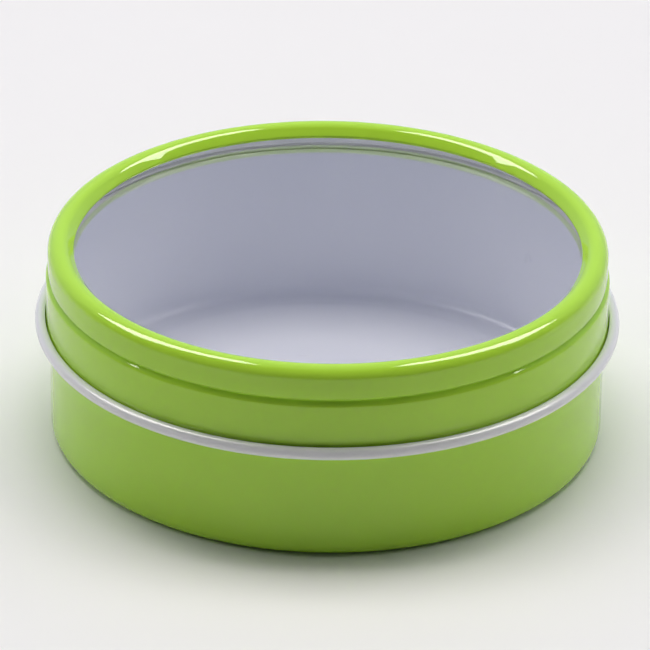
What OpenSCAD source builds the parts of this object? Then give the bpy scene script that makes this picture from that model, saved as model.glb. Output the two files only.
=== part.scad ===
// Round slip-lid window tin. The base is a drawn cup, and the lid is a drawn ring
// with a clear pane held under its hemmed opening. Every piece is one turned section.
// The z axis is the tin's axis, and z = 0 is the surface that the tin stands on.

/* [Sheet metal] */
// Thickness of the lacquered tinplate
sheet_t = 0.25; // [0.18:0.01:0.32]
// Radial clearance between the base wall and the lid's skirt
skirt_gap = 0.3; // [0.15:0.05:0.45]
// Clearance between the lid's step and the base's cut edge, which stops it
seat_gap = 0.05; // [0.02:0.01:0.1]

/* [Base] */
// Outer diameter of the base wall
base_d = 81.6; // [70:0.2:110]
// Height of the base to its cut edge
base_h = 24.8; // [20:0.1:45]
// Outer radius of the corner between the bottom and the wall
base_corner_r = 1.8; // [1:0.1:3]
// Width of the flat ring that the tin stands on
foot_w = 1.6; // [1:0.1:3]
// Rise of the bottom panel inside that ring
panel_rise = 0.25; // [0.2:0.05:1]
// Width of the slope between the ring and the panel
panel_slope_w = 2; // [0.8:0.1:3]

/* [Lid] */
// How far the skirt stands out from the band above it
step_w = 0.3; // [0.1:0.05:0.6]
// Depth of the groove above the step, which makes the stop ridge inside
groove_depth = 0.32; // [0.15:0.01:0.4]
// Height of the groove's upper curve
groove_h = 0.4; // [0.3:0.1:1]
// Height of the step's curve, from the groove down to the skirt
step_h = 0.9; // [0.6:0.1:1.5]
// Height of the skirt from the foot of the step to the middle of its bead
skirt_h = 6.9; // [4:0.1:12]
// Outer radius of the bead that the skirt's edge is rolled into
bead_r = 0.9; // [0.7:0.05:1.4]
// How far the skirt flares out before it rolls into the bead
bead_flare = 0.1; // [0:0.02:0.3]
// Height of the rim from the groove to its crest
rim_h = 4.8; // [4:0.05:8]
// Outer radius of the rim's outer corner
rim_corner_r = 1.75; // [0.8:0.05:2.2]
// Outer radius of the crest's inner edge
crest_edge_r = 1.5; // [0.6:0.05:2]
// Width of the flat top of the crest
crest_w = 0.2; // [0.1:0.05:2]

/* [Window] */
// Width of the slope between the crest's inner edge and the hem
hem_inset = 0.4; // [0.2:0.05:1.5]
// Outer radius of the hem round the window opening
hem_r = 0.35; // [0.3:0.05:0.6]
// Depth of the middle of the hem below the crest
hem_depth = 1.5; // [1.2:0.05:2.4]
// Drop from the hem to the top of the pane
pane_drop = 0.6; // [0.1:0.05:1]
// Thickness of the clear pane
pane_t = 0.3; // [0.2:0.05:0.5]
// Outer radius of the pane's turned-down edge
pane_corner_r = 0.7; // [0.6:0.05:1]
// Clearance round the pane and under its turned-down edge
pane_gap = 0.05; // [0.02:0.01:0.1]

/* [Hidden] */
$fn = 180;

// How far round the bead is closed, and how far the hem is tucked under
BEAD_TURN = 310;
HEM_TUCK = 40;
// Largest angle between the points of a rounded stretch, and the steps of an S-curve
ARC_STEP = 10;
EASE_STEPS = 8;
// Radial room for the base's edge under the slanting step, as a share of the sheet and clearance
SEAT_SLANT = 1.5;

half_t = sheet_t / 2;
base_r = base_d / 2;
foot_r = base_r - base_corner_r;
panel_r = foot_r - foot_w - panel_slope_w;

// Radii and heights of the lid, from the base that it fits. The base's edge meets the
// step where the S-curve is far enough out to leave the clearance.
skirt_mid_r = base_r + skirt_gap + half_t;
band_r = skirt_mid_r + half_t - step_w;
band_mid_r = band_r - half_t;
ridge_mid_r = band_mid_r - groove_depth;
seat_share = (base_r + SEAT_SLANT * (half_t + seat_gap) - ridge_mid_r) / (skirt_mid_r - ridge_mid_r);
seat_drop = step_h * acos(1 - 2 * min(seat_share, 1)) / 180;
ridge_z = base_h + seat_drop;
crest_z = ridge_z + rim_h;
bead_z = ridge_z - step_h - skirt_h;
bead_mid_r = bead_r - half_t;
bead_c = [skirt_mid_r + bead_flare + bead_mid_r, bead_z];

// Centres of the rim's rounded stretches
rim_corner_c = [band_r - rim_corner_r, crest_z - rim_corner_r];
crest_edge_c = [rim_corner_c[0] - crest_w, crest_z - crest_edge_r];
hem_c = [crest_edge_c[0] - crest_edge_r - hem_inset + hem_r, crest_z - hem_depth];
// Direction from each of the last two centres to the straight slope that joins them
slope_a = let (d = crest_edge_c - hem_c)
    atan2(d[1], d[0]) + acos((hem_r - crest_edge_r) / norm(d));

// The pane lies below the hem, and its turned-down edge stands on the stop ridge
pane_top_z = hem_c[1] - hem_r - pane_drop;
pane_r = band_mid_r - half_t - pane_gap;
pane_foot_z = ridge_z + groove_h + pane_gap;

// Points on an arc round c, from angle a0 to angle a1
function arc(c, r, a0, a1) =
    let (n = ceil(abs(a1 - a0) / ARC_STEP))
    [for (i = [0:n]) let (a = a0 + (a1 - a0) * i / n) c + r * [cos(a), sin(a)]];

// Points between p and q on an S-curve that leaves and reaches them along the vertical
function ease(p, q) =
    [for (i = [1:EASE_STEPS - 1]) let (k = i / EASE_STEPS)
        [p[0] + (q[0] - p[0]) * (1 - cos(180 * k)) / 2, p[1] + (q[1] - p[1]) * k]];

// Points between p and q on an S-curve that leaves and reaches them along the horizontal
function ease_flat(p, q) =
    [for (i = [1:EASE_STEPS - 1]) let (k = i / EASE_STEPS)
        [p[0] + (q[0] - p[0]) * k, p[1] + (q[1] - p[1]) * (1 - cos(180 * k)) / 2]];

// Left-hand normal of the straight run from p to q
function run_normal(p, q) = [p[1] - q[1], q[0] - p[0]] / norm(q - p);

// Step from point i of a path to the mitred corner of a line drawn 1 to its left
function mitre(path, i) =
    let (last = len(path) - 1,
         before = i > 0 ? run_normal(path[i - 1], path[i]) : run_normal(path[0], path[1]),
         after = i < last ? run_normal(path[i], path[i + 1]) : before)
    (before + after) / (1 + before * after);

// Turned sheet of thickness t, whose middle follows a path of [radius, height] points
module spun_sheet(path, t) {
    last = len(path) - 1;
    rotate_extrude()
        polygon(concat(
            [for (i = [0:last]) path[i] + mitre(path, i) * t / 2],
            [for (i = [last:-1:0]) path[i] - mitre(path, i) * t / 2]));
}

function base_path() =
    let (floor_p = [panel_r, half_t + panel_rise],
         foot_p = [panel_r + panel_slope_w, half_t])
    concat(
        [[0, floor_p[1]], floor_p],
        ease_flat(floor_p, foot_p),
        [foot_p],
        arc([foot_r, base_corner_r], base_corner_r - half_t, -90, 0),
        [[base_r - half_t, base_h]]);

function lid_path() =
    let (ridge_p = [ridge_mid_r, ridge_z],
         band_p = [band_mid_r, ridge_z + groove_h],
         skirt_top = [skirt_mid_r, ridge_z - step_h],
         flare_p = [skirt_mid_r, bead_z + bead_r],
         bead_p = [skirt_mid_r + bead_flare, bead_z])
    concat(
        arc(hem_c, hem_r - half_t, HEM_TUCK, slope_a - 360),
        arc(crest_edge_c, crest_edge_r - half_t, slope_a, 90),
        arc(rim_corner_c, rim_corner_r - half_t, 90, 0),
        [band_p],
        ease(band_p, ridge_p),
        [ridge_p],
        ease(ridge_p, skirt_top),
        [skirt_top, flare_p],
        ease(flare_p, bead_p),
        arc(bead_c, bead_mid_r, 180, 180 + BEAD_TURN));

function pane_path() =
    let (corner_c = [pane_r - pane_corner_r, pane_top_z - pane_corner_r])
    concat(
        [[0, pane_top_z - pane_t / 2]],
        arc(corner_c, pane_corner_r - pane_t / 2, 90, 0),
        [[pane_r - pane_t / 2, pane_foot_z]]);

// Drawn cup with a raised bottom panel and a plain cut edge
module base_cup() {
    color("YellowGreen") spun_sheet(base_path(), sheet_t);
}

// Drawn ring: hemmed window opening, rounded crest, stop groove, skirt and rolled bead
module lid_frame() {
    color("OliveDrab") spun_sheet(lid_path(), sheet_t);
}

// Clear pane with a turned-down edge, a push fit in the lid above the stop ridge
module window_pane() {
    color("LightSteelBlue", 0.4) spun_sheet(pane_path(), pane_t);
}

base_cup();
lid_frame();
window_pane();
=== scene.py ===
"""Looks of a round slip-lid window tin: green lacquer outside, white inside, a clear pane."""

import math

import bmesh
import bpy
from mathutils import Matrix, Vector


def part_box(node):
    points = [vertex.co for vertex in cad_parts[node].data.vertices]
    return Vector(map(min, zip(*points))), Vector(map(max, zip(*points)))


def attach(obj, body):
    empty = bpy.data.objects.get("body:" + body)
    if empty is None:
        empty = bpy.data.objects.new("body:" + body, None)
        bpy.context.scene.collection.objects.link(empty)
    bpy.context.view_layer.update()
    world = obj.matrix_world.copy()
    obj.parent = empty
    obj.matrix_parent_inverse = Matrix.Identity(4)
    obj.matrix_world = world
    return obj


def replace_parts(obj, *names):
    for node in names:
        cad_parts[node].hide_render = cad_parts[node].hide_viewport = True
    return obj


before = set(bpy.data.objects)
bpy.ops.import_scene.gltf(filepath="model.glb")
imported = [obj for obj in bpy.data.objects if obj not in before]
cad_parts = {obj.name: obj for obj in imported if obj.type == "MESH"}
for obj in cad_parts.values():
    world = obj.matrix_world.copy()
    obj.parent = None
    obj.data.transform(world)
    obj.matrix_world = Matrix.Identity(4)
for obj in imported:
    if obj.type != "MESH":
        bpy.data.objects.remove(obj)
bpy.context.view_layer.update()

# Lengths are in millimetres, and MM turns them into the scene's metres
MM = 0.001

# Sheet metal, as in the construction
SHEET_T = 0.25
BASE_CORNER_R = 1.8
FOOT_W = 1.6
PANEL_RISE = 0.25
PANEL_SLOPE_W = 2.0
SKIRT_GAP = 0.3
SEAT_GAP = 0.05
SEAT_SLANT = 1.5
STEP_W = 0.3
GROOVE_DEPTH = 0.32
GROOVE_H = 0.4
STEP_H = 0.9
BEAD_R = 0.9
BEAD_FLARE = 0.1
RIM_CORNER_R = 1.75
CREST_EDGE_R = 1.5
CREST_W = 0.2
HEM_INSET = 0.4
HEM_R = 0.35
HEM_DEPTH = 1.5
PANE_T = 0.3
PANE_CORNER_R = 0.7
BEAD_TURN = 310
HEM_TUCK = 40

# How finely the sections are drawn and turned
ARC_STEP = 7.5
EASE_STEPS = 10
LINE_STEP = 1.5
SPIN_STEPS = 240

# An edge whose faces turn by more than this is sharp
SHARP_ANGLE = math.radians(50)

# Camera, worked out from the ellipses of the tin's rim, bead and foot in the photograph
CAMERA_ELEVATION = math.radians(27.78)
CAMERA_DISTANCE = 828.8
CAMERA_ROLL = math.radians(0.767)
CAMERA_LOOK_AT = Vector((-0.31, 0.0, 15.9))
FOCAL_PX = 5622
SENSOR_W = 36.0
IMAGE_PX = 650

# Two tones of each surface, which it drifts between
GREEN_TONES = ((0.475, 0.815, 0.055), (0.46, 0.795, 0.05))
WHITE_TONES = ((0.835, 0.84, 0.85), (0.815, 0.82, 0.83))
BEAD_TONES = ((0.84, 0.85, 0.87), (0.82, 0.83, 0.85))
TINPLATE_TONES = ((0.55, 0.55, 0.54), (0.42, 0.42, 0.42))
FLOOR_TONES = ((0.83, 0.835, 0.815), (0.82, 0.825, 0.805))

# Colour that the film gives to what is seen through it, and to light that passes straight through
FILM_COLOUR = (0.93, 0.94, 0.96, 1)
CLEAR_COLOUR = (0.97, 0.973, 0.985, 1)
FILM_IOR = 1.6
LACQUER_IOR = 1.5

# Lacquer's roughness runs between these shares of the one that it is given, and the sheet
# below it waves this many times as deep as its orange peel
HAZE_RANGE = (0.85, 1.3)
SHEET_WAVE = 6

# Range of a noise texture's values that a material spreads out
NOISE_RANGE = (0.3, 0.7)

# Sockets of the Mix node when it mixes colours
MIX_FIRST, MIX_SECOND, MIX_RESULT = 6, 7, 2

# Material slots of a turned sheet: its path's left side, its right side and its cut edges
LEFT_SIDE, RIGHT_SIDE, CUT_EDGE = 0, 1, 2

# Lamps stand this far from the middle of the tin
TIN_MIDDLE = Vector((0, 0, 15))
LAMP_DISTANCE = 1300
LAMP_COLOUR = (1.0, 0.955, 0.9)

# The surroundings are dim in front of the tin and pale behind it, which is what the pane
# mirrors. They turn pale over PALE_RANGE of a direction's dot product with PALE_SIDE.
DIM_COLOUR = (0.05, 0.05, 0.05)
PALE_COLOUR = (0.42, 0.445, 0.65)
PALE_SIDE = (0, 1, 0.3)
PALE_RANGE = (-0.05, 0.75)

# Half the side of the square floor
FLOOR_HALF = 3000


def arc(centre, radius, start, end):
    """Points on an arc, with its angles in degrees."""
    count = max(1, math.ceil(abs(end - start) / ARC_STEP))
    points = []
    for i in range(count + 1):
        angle = math.radians(start + (end - start) * i / count)
        points.append((centre[0] + radius * math.cos(angle), centre[1] + radius * math.sin(angle)))
    return points


def line(p, q):
    """Points strictly between p and q, close enough to keep the surface's normals straight."""
    count = max(1, math.ceil(math.dist(p, q) / LINE_STEP))
    return [(p[0] + (q[0] - p[0]) * i / count, p[1] + (q[1] - p[1]) * i / count) for i in range(1, count)]


def ease(p, q, upright=True):
    """Points strictly between p and q on an S-curve."""
    points = []
    for i in range(1, EASE_STEPS):
        k = i / EASE_STEPS
        s = (1 - math.cos(math.pi * k)) / 2
        kr, kz = (s, k) if upright else (k, s)
        points.append((p[0] + (q[0] - p[0]) * kr, p[1] + (q[1] - p[1]) * kz))
    return points


def joined(*stretches):
    """One path from stretches, with straight runs filled in between them."""
    path = list(stretches[0])
    for stretch in stretches[1:]:
        path += line(path[-1], stretch[0])
        path += stretch
    return path


def run_normal(p, q):
    """Left-hand normal of the straight run from p to q."""
    size = math.dist(p, q)
    return (p[1] - q[1]) / size, (q[0] - p[0]) / size


def offset_path(path, distance):
    """The path moved to its left by a distance, with mitred corners."""
    normals = [run_normal(p, q) for p, q in zip(path, path[1:])]
    moved = []
    for i, (r, z) in enumerate(path):
        before, after = normals[max(i - 1, 0)], normals[min(i, len(normals) - 1)]
        scale = distance / (1 + before[0] * after[0] + before[1] * after[1])
        moved.append((r + (before[0] + after[0]) * scale, z + (before[1] + after[1]) * scale))
    return moved


def spun_sheet(name, path, thickness, materials):
    """A turned sheet, with a material for each of its slots."""
    left, right = offset_path(path, thickness / 2), offset_path(path, -thickness / 2)
    loop = left + right[::-1]
    last = len(left) - 1
    closed_at_axis = path[0][0] == 0
    bm = bmesh.new()
    rings = []
    for r, z in loop:
        if r == 0:
            rings.append([bm.verts.new((0, 0, z * MM))])
            continue
        ring = []
        for k in range(SPIN_STEPS):
            angle = 2 * math.pi * k / SPIN_STEPS
            ring.append(bm.verts.new((r * math.cos(angle) * MM, r * math.sin(angle) * MM, z * MM)))
        rings.append(ring)
    for i in range(len(loop)):
        j = (i + 1) % len(loop)
        if j == 0 and closed_at_axis:
            continue
        if i < last:
            slot = LEFT_SIDE
        elif i > last and j != 0:
            slot = RIGHT_SIDE
        else:
            slot = CUT_EDGE
        for k in range(SPIN_STEPS):
            n = (k + 1) % SPIN_STEPS
            a, b = rings[i], rings[j]
            if len(a) == 1:
                corners = (a[0], b[k], b[n])
            elif len(b) == 1:
                corners = (a[k], b[0], a[n])
            else:
                corners = (a[k], b[k], b[n], a[n])
            bm.faces.new(corners).material_index = slot
    bmesh.ops.recalc_face_normals(bm, faces=bm.faces[:])
    for face in bm.faces:
        face.smooth = True
    for edge in bm.edges:
        edge.smooth = len(edge.link_faces) == 2 and edge.calc_face_angle(0) < SHARP_ANGLE
    mesh = bpy.data.meshes.new(name)
    bm.to_mesh(mesh)
    bm.free()
    piece = bpy.data.objects.new(name, mesh)
    bpy.context.scene.collection.objects.link(piece)
    for material in materials:
        mesh.materials.append(material)
    return piece


# Sizes that the frame gives
base_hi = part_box("base_cup")[1] / MM
lid_lo, lid_hi = (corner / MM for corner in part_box("lid_frame"))
pane_lo, pane_hi = (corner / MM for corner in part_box("window_pane"))
HALF_T = SHEET_T / 2
BASE_R, BASE_H = base_hi.x, base_hi.z
CREST_Z = lid_hi.z
BEAD_Z = lid_lo.z + BEAD_R


def base_path():
    """Middle of the base's sheet, from the axis out and up to its cut edge."""
    foot_r = BASE_R - BASE_CORNER_R
    panel_r = foot_r - FOOT_W - PANEL_SLOPE_W
    panel_edge = (panel_r, HALF_T + PANEL_RISE)
    foot_edge = (panel_r + PANEL_SLOPE_W, HALF_T)
    return joined(
        [(0, panel_edge[1])],
        [panel_edge] + ease(panel_edge, foot_edge, upright=False) + [foot_edge],
        arc((foot_r, BASE_CORNER_R), BASE_CORNER_R - HALF_T, -90, 0),
        [(BASE_R - HALF_T, BASE_H)],
    )


def lid_path():
    """Middle of the lid's sheet, from the tucked hem over the crest and down to the bead."""
    skirt_r = BASE_R + SKIRT_GAP + HALF_T
    band_outer = skirt_r + HALF_T - STEP_W
    band_r = band_outer - HALF_T
    ridge_r = band_r - GROOVE_DEPTH
    seat_share = (BASE_R + SEAT_SLANT * (HALF_T + SEAT_GAP) - ridge_r) / (skirt_r - ridge_r)
    ridge_z = BASE_H + STEP_H * math.acos(1 - 2 * min(seat_share, 1)) / math.pi
    corner_centre = (band_outer - RIM_CORNER_R, CREST_Z - RIM_CORNER_R)
    edge_centre = (corner_centre[0] - CREST_W, CREST_Z - CREST_EDGE_R)
    hem_centre = (edge_centre[0] - CREST_EDGE_R - HEM_INSET + HEM_R, CREST_Z - HEM_DEPTH)
    run = (edge_centre[0] - hem_centre[0], edge_centre[1] - hem_centre[1])
    slope = math.atan2(run[1], run[0]) + math.acos((HEM_R - CREST_EDGE_R) / math.hypot(*run))
    slope = math.degrees(slope)
    band_foot = (band_r, ridge_z + GROOVE_H)
    ridge = (ridge_r, ridge_z)
    skirt_top = (skirt_r, ridge_z - STEP_H)
    flare = (skirt_r, BEAD_Z + BEAD_R)
    bead = (skirt_r + BEAD_FLARE, BEAD_Z)
    bead_centre = (bead[0] + BEAD_R - HALF_T, BEAD_Z)
    return joined(
        arc(hem_centre, HEM_R - HALF_T, HEM_TUCK, slope - 360),
        arc(edge_centre, CREST_EDGE_R - HALF_T, slope, 90),
        arc(corner_centre, RIM_CORNER_R - HALF_T, 90, 0),
        [band_foot] + ease(band_foot, ridge) + [ridge] + ease(ridge, skirt_top) + [skirt_top],
        [flare] + ease(flare, bead) + arc(bead_centre, BEAD_R - HALF_T, 180, 180 + BEAD_TURN),
    )


def pane_path():
    """Middle of the pane's film, from the axis to its turned-down edge."""
    centre = (pane_hi.x - PANE_CORNER_R, pane_hi.z - PANE_CORNER_R)
    return joined(
        [(0, pane_hi.z - PANE_T / 2)],
        arc(centre, PANE_CORNER_R - PANE_T / 2, 90, 0),
        [(pane_hi.x - PANE_T / 2, pane_lo.z)],
    )


class Nodes:
    """Short calls for building a material's node tree."""

    def __init__(self, name):
        self.material = bpy.data.materials.new(name)
        self.material.use_nodes = True
        self.tree = self.material.node_tree
        self.tree.nodes.clear()
        self.output = self.add("ShaderNodeOutputMaterial")

    def add(self, kind, settings=None, **inputs):
        """A new node, with its settings and its inputs by name."""
        node = self.tree.nodes.new(kind)
        for key, value in (settings or {}).items():
            setattr(node, key, value)
        for key, value in inputs.items():
            self.set(node, key.replace("_", " "), value)
        return node

    def set(self, node, key, value):
        """Links a socket to an input, or sets the input to a constant."""
        socket = node.inputs[key]
        if isinstance(value, bpy.types.NodeSocket):
            self.tree.links.new(value, socket)
        else:
            socket.default_value = value

    def noise(self, scale, detail, roughness=0.5):
        """Noise that stays with the piece. Its scale is in waves per metre."""
        coords = self.add("ShaderNodeTexCoord")
        node = self.add("ShaderNodeTexNoise", Scale=scale, Detail=detail, Roughness=roughness)
        self.set(node, "Vector", coords.outputs["Object"])
        return node.outputs["Fac"]

    def spread(self, noise, low, high):
        """Noise spread between two values."""
        node = self.add("ShaderNodeMapRange", Value=noise)
        for key, number in zip(("From Min", "From Max", "To Min", "To Max"), (*NOISE_RANGE, low, high)):
            node.inputs[key].default_value = number
        return node.outputs["Result"]

    def drift(self, tones, scale):
        """A colour that drifts between two tones over a noise."""
        node = self.add("ShaderNodeMix", {"data_type": "RGBA"})
        self.set(node, "Factor", self.spread(self.noise(scale, detail=3), low=0, high=1))
        node.inputs[MIX_FIRST].default_value = (*tones[0], 1)
        node.inputs[MIX_SECOND].default_value = (*tones[1], 1)
        return node.outputs[MIX_RESULT]

    def bump(self, depth, scale, detail):
        """Waves of a depth in millimetres."""
        node = self.add("ShaderNodeBump", Strength=1.0, Distance=depth * MM)
        self.set(node, "Height", self.noise(scale, detail))
        return node

    def finish(self, shader):
        """The material, with the shader as its surface."""
        self.tree.links.new(shader, self.output.inputs["Surface"])
        return self.material


def lacquer(name, tones, roughness, peel):
    """Gloss lacquer on rolled sheet, with faint drifts of colour, haze and orange peel of a depth."""
    n = Nodes(name)
    tone = n.drift(tones, scale=60)
    haze_noise = n.noise(scale=240, detail=4, roughness=0.6)
    haze = n.spread(haze_noise, roughness * HAZE_RANGE[0], roughness * HAZE_RANGE[1])
    peel_bump = n.bump(peel, scale=900, detail=2)
    sheet_bump = n.bump(peel * SHEET_WAVE, scale=90, detail=1)
    n.set(sheet_bump, "Normal", peel_bump.outputs["Normal"])
    shader = n.add("ShaderNodeBsdfPrincipled", Base_Color=tone, Roughness=haze, IOR=LACQUER_IOR)
    n.set(shader, "Normal", sheet_bump.outputs["Normal"])
    return n.finish(shader.outputs["BSDF"])


def bare_edge():
    """Cut edge of the tinplate."""
    n = Nodes("bare_edge")
    tone = n.drift(TINPLATE_TONES, scale=700)
    roughness = n.spread(n.noise(scale=900, detail=3), low=0.3, high=0.45)
    shader = n.add("ShaderNodeBsdfPrincipled", Base_Color=tone, Metallic=1.0, Roughness=roughness)
    return n.finish(shader.outputs["BSDF"])


def clear_film():
    """Clear film, faintly wavy and hazed, that shadow rays and diffuse light pass straight through."""
    n = Nodes("clear_film")
    waves = n.bump(depth=0.0015, scale=70, detail=1)
    haze = n.spread(n.noise(scale=300, detail=3), low=0.01, high=0.02)
    film = n.add("ShaderNodeBsdfPrincipled", Base_Color=FILM_COLOUR, Roughness=haze, IOR=FILM_IOR)
    n.set(film, "Transmission Weight", 1.0)
    n.set(film, "Coat Weight", 1.0)
    n.set(film, "Coat IOR", FILM_IOR)
    n.set(film, "Normal", waves.outputs["Normal"])
    clear = n.add("ShaderNodeBsdfTransparent", Color=CLEAR_COLOUR)
    path = n.add("ShaderNodeLightPath")
    passes = n.add("ShaderNodeMath", {"operation": "MAXIMUM"})
    n.set(passes, 0, path.outputs["Is Shadow Ray"])
    n.set(passes, 1, path.outputs["Is Diffuse Ray"])
    mix = n.add("ShaderNodeMixShader")
    n.set(mix, 0, passes.outputs[0])
    n.set(mix, 1, film.outputs["BSDF"])
    n.set(mix, 2, clear.outputs["BSDF"])
    return n.finish(mix.outputs["Shader"])


def build_tin():
    """The three pieces, dressed. Each takes the place of its CAD node and rides on that node's body."""
    green = lacquer("green_lacquer", GREEN_TONES, roughness=0.03, peel=0.0005)
    white = lacquer("white_lacquer", WHITE_TONES, roughness=0.32, peel=0.0006)
    bead_white = lacquer("bead_lacquer", BEAD_TONES, roughness=0.18, peel=0.002)
    edge = bare_edge()
    base = spun_sheet("base_shell", base_path(), SHEET_T, (white, green, white))
    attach(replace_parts(base, "base_cup"), "base")
    lid = spun_sheet("lid_shell", lid_path(), SHEET_T, (green, bead_white, edge))
    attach(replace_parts(lid, "lid_frame"), "lid")
    film = clear_film()
    pane = spun_sheet("pane_film", pane_path(), PANE_T, (film, film, film))
    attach(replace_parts(pane, "window_pane"), "lid")


def build_floor():
    """A pale floor that runs on far past the picture."""
    n = Nodes("studio_floor")
    tone = n.drift(FLOOR_TONES, scale=8)
    shader = n.add("ShaderNodeBsdfPrincipled", Base_Color=tone, Roughness=0.6)
    material = n.finish(shader.outputs["BSDF"])
    size = FLOOR_HALF * MM
    mesh = bpy.data.meshes.new("floor")
    corners = [(-size, -size, 0), (size, -size, 0), (size, size, 0), (-size, size, 0)]
    mesh.from_pydata(corners, [], [(0, 1, 2, 3)])
    mesh.materials.append(material)
    floor = bpy.data.objects.new("floor", mesh)
    bpy.context.scene.collection.objects.link(floor)


def build_lamp(name, direction, long_side, size, watts, glints):
    """A lamp in a direction from the tin, which it faces, with its long side along a direction.

    It gives either the glints on the lacquer or the shading, never both.
    """
    data = bpy.data.lights.new(name, "AREA")
    data.shape = "RECTANGLE"
    data.size, data.size_y = size[0] * MM, size[1] * MM
    data.energy = watts
    data.color = LAMP_COLOUR
    lamp = bpy.data.objects.new(name, data)
    toward = Vector(direction).normalized()
    lamp_x = Vector(long_side).cross(toward).normalized()
    turn = Matrix((lamp_x, toward.cross(lamp_x), toward)).transposed().to_4x4()
    lamp.matrix_world = Matrix.Translation((TIN_MIDDLE + toward * LAMP_DISTANCE) * MM) @ turn
    lamp.visible_diffuse = not glints
    lamp.visible_glossy = glints
    lamp.visible_transmission = glints
    bpy.context.scene.collection.objects.link(lamp)


def build_lamps():
    """Soft light from above and from both sides, and two strips behind the tin that give the glints."""
    build_lamp("overhead", (0, 0.22, 0.97), (1, 0, 0), size=(640, 1400), watts=14.8, glints=False)
    for name, side in (("left", -1), ("right", 1)):
        toward = (0.87 * side, 0.08, 0.48)
        build_lamp("side_" + name, toward, (0, 1, 0), size=(500, 500), watts=2.2, glints=False)
        toward = (0.5 * side, 0.22, 0.83)
        long_side = (0.857 * side, 0, -0.516)
        build_lamp("strip_" + name, toward, long_side, size=(500, 900), watts=17, glints=True)


def build_world():
    """Surroundings that run from dim in front of the tin to pale behind it."""
    world = bpy.data.worlds.new("studio")
    bpy.context.scene.world = world
    world.use_nodes = True
    tree = world.node_tree
    coords = tree.nodes.new("ShaderNodeTexCoord")
    along = tree.nodes.new("ShaderNodeVectorMath")
    along.operation = "DOT_PRODUCT"
    along.inputs[1].default_value = PALE_SIDE
    spread = tree.nodes.new("ShaderNodeMapRange")
    spread.interpolation_type = "SMOOTHSTEP"
    spread.inputs["From Min"].default_value, spread.inputs["From Max"].default_value = PALE_RANGE
    mix = tree.nodes.new("ShaderNodeMix")
    mix.data_type = "RGBA"
    mix.inputs[MIX_FIRST].default_value = (*DIM_COLOUR, 1)
    mix.inputs[MIX_SECOND].default_value = (*PALE_COLOUR, 1)
    background = tree.nodes["Background"]
    tree.links.new(coords.outputs["Generated"], along.inputs[0])
    tree.links.new(along.outputs["Value"], spread.inputs["Value"])
    tree.links.new(spread.outputs["Result"], mix.inputs["Factor"])
    tree.links.new(mix.outputs[MIX_RESULT], background.inputs["Color"])


def build_camera():
    """The photograph's camera, which looks along +Y and down on the tin."""
    cos_e, sin_e = math.cos(CAMERA_ELEVATION), math.sin(CAMERA_ELEVATION)
    ahead = Vector((0, cos_e, -sin_e))
    above = Vector((0, sin_e, cos_e))
    across = Vector((1, 0, 0))
    cos_r, sin_r = math.cos(CAMERA_ROLL), math.sin(CAMERA_ROLL)
    camera_x = across * cos_r + above * sin_r
    camera_y = above * cos_r - across * sin_r
    data = bpy.data.cameras.new("camera")
    data.sensor_width = SENSOR_W
    data.lens = SENSOR_W * FOCAL_PX / IMAGE_PX
    camera = bpy.data.objects.new("camera", data)
    turn = Matrix((camera_x, camera_y, -ahead)).transposed().to_4x4()
    place = (CAMERA_LOOK_AT - ahead * CAMERA_DISTANCE) * MM
    camera.matrix_world = Matrix.Translation(place) @ turn
    bpy.context.scene.collection.objects.link(camera)
    bpy.context.scene.camera = camera


build_tin()
build_floor()
build_world()
build_lamps()
build_camera()
bpy.context.scene.view_settings.view_transform = "Standard"
